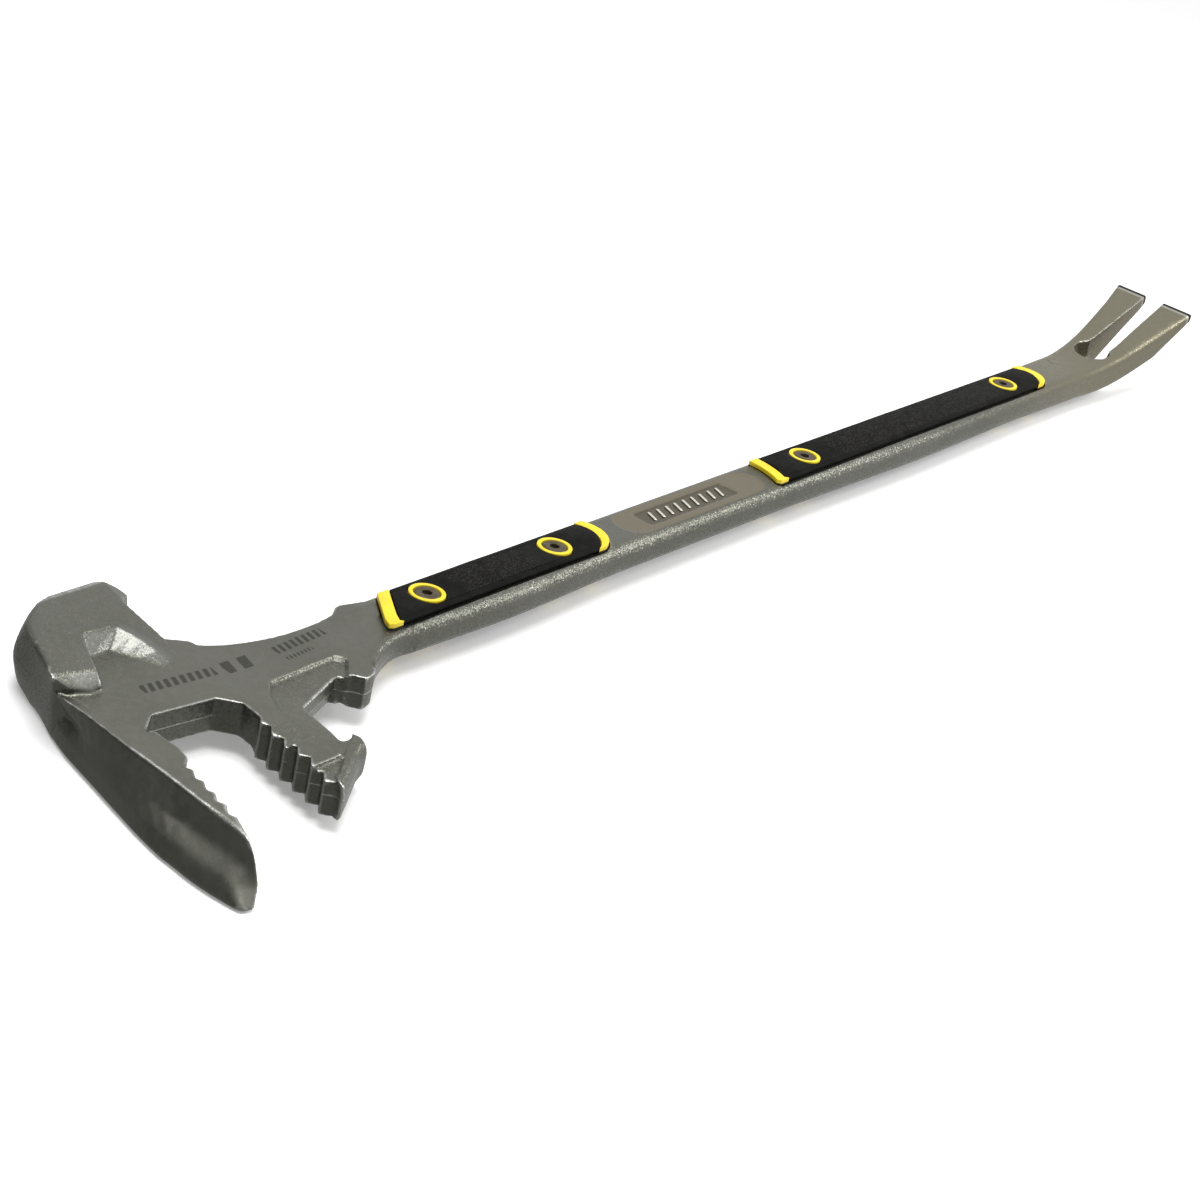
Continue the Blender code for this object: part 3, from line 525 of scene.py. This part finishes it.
def steel_tone(s, where, mottle):
    """The steel's colour: forged grey, the worked areas, what wear and etching leave, and painted highlights
    and shade.
    """
    broad = s.noise(42.0, 3.0)
    tone = s.mix(s.ramp(broad, 0.3, 0.7), STEEL_DARK, STEEL_LIGHT)
    tone = s.mix(s.both(s.ramp(mottle, 0.38, 0.7), 0.3), tone, SPECK_TONE)
    tone = s.mix(where.flat, tone, FLAT_TONE)
    tone = s.mix(where.panel, tone, PANEL_TONE)
    tone = s.mix(where.ribs, tone, RIB_TONE)
    tone = s.mix(s.both(where.claw, 0.85), tone, CLAW_TONE)
    # Painted shade in the creases.
    tone = s.mix(s.both(where.crease_shade, 0.6), tone, CREASE_SHADE_TONE)
    # Worn edges with a painted highlight on them.
    tone = s.mix(s.both(where.worn, s.span(mottle, 0.3, 0.6, 0.55, 0.95)), tone, WEAR_AND_GLINT_TONE)
    tone = s.mix(s.both(where.rim, s.span(s.noise(3.0), 0.3, 0.7, 0.3, 0.8)), tone, RIM_TONE)
    tone = s.mix(s.both(s.most(where.etched, where.stamp), 0.8), tone, ETCHED_TONE)
    # Painted glint along the flash line.
    tone = s.mix(where.seam_glint, tone, SEAM_GLINT_TONE)
    tone = s.mix(where.ground_tip, tone, GROUND_TIP_TONE)
    # Painted shade on the tips' end faces.
    tone = s.mix(where.tip_end_shade, tone, TIP_END_SHADE_TONE)
    # Painted highlight on the recess slopes.
    tone = s.mix(where.slope, tone, SLOPE_HIGHLIGHT_TONE)
    # Faint painted lightening of the blade's outer face, set for how it takes the light.
    return s.mix(s.both(where.blade_face, 0.12), tone, BLADE_FACE_LIGHTENING)


def steel_normal(s, where, mottle):
    """The forged grain, which is faint where the steel was machined or is smoother."""
    worked = s.most(where.flat, s.both(where.claw, 0.5), s.both(where.web, 0.55), where.blade_face)
    worked = s.most(worked, s.both(s.most(where.slope, where.toe), 0.72))
    share = s.span(worked, 0.0, 1.0, 1.0, 0.15)
    normal = s.bump(mottle, 0.22, s.both(share, 0.06))
    normal = s.bump(s.noise(1.2, 2.0, 0.6), 0.12, s.both(share, 0.5), normal)
    normal = s.bump(s.noise(0.5, 2.0, 0.6), 0.04, share, normal)
    normal = s.bump(where.seam, 0.25, s.both(where.wall, 0.8), normal)
    on_slope = s.span(where.slope, 0.0, SLOPE_SHARE, 1.0, 0.65)
    on_side = s.span(where.bar_side, 0.0, 1.0, 0.34, 0.42)
    return s.flakes(0.45, s.both(share, on_slope, on_side), normal)


def steel_material():
    s = Shader("forged_steel_look", metallic=0.92)
    where = SteelPlaces(s)
    mottle = s.noise(3.4, 3.0, 0.55)
    rough = s.span(mottle, 0.3, 0.7, 0.33, 0.42)
    rough = s.math("ADD", rough, s.both(where.etched, 0.15))
    rough = s.math("ADD", rough, s.both(where.blade_face, 0.14))
    return s.finish(steel_tone(s, where, mottle), rough, steel_normal(s, where, mottle))


def yellow_material():
    s = Shader("yellow_carrier_look")
    z = s.local("Z")
    tone = s.mix(s.ramp(s.noise(9.0), 0.3, 0.7), YELLOW_DARK, YELLOW_LIGHT)
    # Painted shade, near black, where the carrier sits down beside the bar in the gap under the pad.
    tone = s.mix(s.both(s.ramp(z, 0.0, 1.0), s.ramp(z, 7.3, 7.05)), tone, YELLOW_GAP_SHADE)
    rough = s.span(s.noise(2.5, 3.0), 0.3, 0.7, 0.34, 0.5)
    return s.finish(tone, rough, s.bump(s.noise(0.7), 0.03, 0.4))


def pad_material():
    s = Shader("black_overmould_look")
    s.out.inputs["Specular IOR Level"].default_value = 0.03
    x = s.local("X")
    y = s.local("Y")
    # Stippled between the screws of each grip; the ends stay smooth.
    short = s.both(s.ramp(x, 192.0, 200.0), s.ramp(x, 243.0, 236.0))
    longer = s.both(s.ramp(x, 450.0, 462.0), s.ramp(x, 601.0, 590.0))
    stippled = s.both(s.math("ADD", short, longer), s.near(y, 0.0, 8.6, 1.2))
    pebble = s.ramp(s.cells(0.9).outputs["Distance"], 0.15, 0.6)
    tone = s.mix(s.ramp(s.noise(6.0, 3.0), 0.3, 0.7), PAD_DARK, PAD_LIGHT)
    tone = s.mix(s.both(stippled, s.ramp(pebble, 0.55, 0.0), 0.5), tone, PAD_DOT)
    rough = s.span(s.noise(1.6, 3.0), 0.3, 0.7, 0.46, 0.62)
    normal = s.bump(s.noise(0.6), 0.04, 0.5)
    normal = s.bump(pebble, 0.25, s.both(stippled, 0.8), normal)
    return s.finish(tone, rough, normal)


def fastener_material():
    s = Shader("fastener_look", metallic=0.85)
    tone = s.mix(s.ramp(s.noise(2.2, 3.0), 0.3, 0.7), FASTENER_DARK, FASTENER_LIGHT)
    rough = s.span(s.noise(0.9), 0.3, 0.7, 0.34, 0.5)
    return s.finish(tone, rough, s.bump(s.noise(0.35), 0.03, 0.5))


def floor_material():
    s = Shader("studio_floor", roughness=0.65)
    s.out.inputs["Emission Color"].default_value = (1.0, 1.0, 1.0, 1.0)
    s.out.inputs["Emission Strength"].default_value = FLOOR_GLOW
    return s.finish(s.mix(s.ramp(s.noise(900.0), 0.3, 0.7), FLOOR_DARK, FLOOR_LIGHT))


# ---------------------------------------------------------------- label ribs


def add_rib(work, x):
    """Adds a raised bar with rounded ends and a softened top to a bmesh."""
    cosine = math.cos(RIB_LEAN)
    sine = math.sin(RIB_LEAN)
    half_straight = (RIB_LENGTH - RIB_WIDTH) / 2
    rings = []
    for inset, height in ((0.0, RIB_BASE), (0.0, RIB_TOP - 0.15), (0.06, RIB_TOP - 0.04), (0.2, RIB_TOP)):
        radius = RIB_WIDTH / 2 - inset
        ring = []
        for i in range(RIB_POINTS):
            angle = math.tau * i / RIB_POINTS
            end = 1 if math.sin(angle) >= 0 else -1
            across = radius * math.cos(angle)
            along = radius * math.sin(angle) + half_straight * end
            spot = at(x + across * cosine - along * sine, across * sine + along * cosine, height)
            ring.append(work.verts.new(spot))
        rings.append(ring)
    for low, high in zip(rings, rings[1:]):
        for i in range(RIB_POINTS):
            j = (i + 1) % RIB_POINTS
            work.faces.new((low[i], low[j], high[j], high[i]))
    work.faces.new(rings[-1])
    work.faces.new(list(reversed(rings[0])))


def label_ribs(paint):
    work = bmesh.new()
    for i in range(RIB_COUNT):
        add_rib(work, RIB_FIRST_X + RIB_PITCH * i)
    mesh = bpy.data.meshes.new("label_ribs")
    work.to_mesh(mesh)
    work.free()
    obj = object_of("label_ribs", mesh)
    mesh.materials.append(paint)
    mesh.shade_smooth()
    mesh.set_sharp_from_angle(angle=RIB_SHARP_ANGLE)
    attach(obj, "root")


# ---------------------------------------------------------------- stage


def area_light(name, place, target, size, power):
    lamp = bpy.data.lights.new(name, "AREA")
    lamp.shape = "RECTANGLE"
    lamp.size, lamp.size_y = size
    lamp.energy = power
    obj = bpy.data.objects.new(name, lamp)
    bpy.context.scene.collection.objects.link(obj)
    obj.location = place
    direction = (Vector(target) - obj.location).normalized()
    obj.rotation_euler = direction.to_track_quat("-Z", "Y").to_euler()
    obj.visible_camera = False


def studio_world():
    """Soft white light that comes mostly from the claw's end and falls off towards the jaw's."""
    world = bpy.data.worlds.new("studio")
    bpy.context.scene.world = world
    world.use_nodes = True
    nodes = world.node_tree.nodes
    links = world.node_tree.links
    towards = nodes.new("ShaderNodeTexCoord").outputs["Generated"]
    lean = nodes.new("ShaderNodeVectorMath")
    lean.operation = "DOT_PRODUCT"
    lean.inputs[1].default_value = SKY_TOWARDS
    links.new(towards, lean.inputs[0])
    fall = nodes.new("ShaderNodeMapRange")
    fall.interpolation_type = "SMOOTHSTEP"
    set_range(fall, *SKY_FALL)
    links.new(lean.outputs["Value"], fall.inputs["Value"])
    split = nodes.new("ShaderNodeSeparateXYZ")
    links.new(towards, split.inputs[0])
    ground = nodes.new("ShaderNodeMapRange")
    set_range(ground, *GROUND_LIFT)
    links.new(split.outputs["Z"], ground.inputs["Value"])
    most = nodes.new("ShaderNodeMath")
    most.operation = "MAXIMUM"
    links.new(fall.outputs["Result"], most.inputs[0])
    links.new(ground.outputs["Result"], most.inputs[1])
    background = nodes["Background"]
    background.inputs["Color"].default_value = (1.0, 1.0, 1.0, 1.0)
    links.new(most.outputs[0], background.inputs["Strength"])


def stage():
    work = bmesh.new()
    corners = ((-1, -1), (1, -1), (1, 1), (-1, 1))
    work.faces.new([work.verts.new((FLOOR_HALF * x, FLOOR_HALF * y, 0.0)) for x, y in corners])
    mesh = bpy.data.meshes.new("floor")
    work.to_mesh(mesh)
    work.free()
    floor = object_of("floor", mesh)
    mesh.materials.append(floor_material())
    floor.visible_glossy = False
    studio_world()
    area_light("overhead", *OVERHEAD)
    area_light("right_front", *RIGHT_FRONT)
    bpy.context.scene.view_settings.view_transform = "Standard"


def camera():
    """A long lens from the jaw's side, 26 degrees above the bar."""
    data = bpy.data.cameras.new("camera")
    data.lens = LENS
    data.sensor_width = SENSOR
    data.clip_end = CLIP_END
    obj = bpy.data.objects.new("camera", data)
    bpy.context.scene.collection.objects.link(obj)
    turn = Matrix((EYE_RIGHT, -EYE_DOWN, -EYE_FORWARD)).transposed()
    obj.matrix_world = Matrix.Translation(at(*EYE)) @ turn.to_4x4()
    bpy.context.scene.camera = obj


# ---------------------------------------------------------------- assembly


def main():
    steel = steel_material()
    yellow = yellow_material()
    black = pad_material()
    dark = fastener_material()
    softer = (BLOCK_FOOT, BLOCK_HEAD, NECK_CORNER, BLADE_TIP, SHORT_JAW_LIP)
    bar = forged("forged_bar", "forged_bar_skin", softer)
    stands_for(bar, "forged_bar", steel)
    for which in ("short", "long"):
        for tag in ("top", "bottom"):
            node = f"grip_carrier_{which}_{tag}"
            carrier = softened(node, f"carrier_{which}_{tag}", CARRIER_ROUND)
            stands_for(carrier, node, yellow)
            node = f"grip_pad_{which}_{tag}"
            pad = softened(node, f"pad_{which}_{tag}", PAD_ROUND)
            stands_for(pad, node, black)
        for kind in ("socket_screw", "sleeve_nut"):
            for i in (1, 2):
                node = f"{kind}_{which}_{i}"
                piece = softened(node, node + "_head", FASTENER_ROUND)
                stands_for(piece, node, dark)
    label_ribs(steel)
    stage()
    camera()


main()
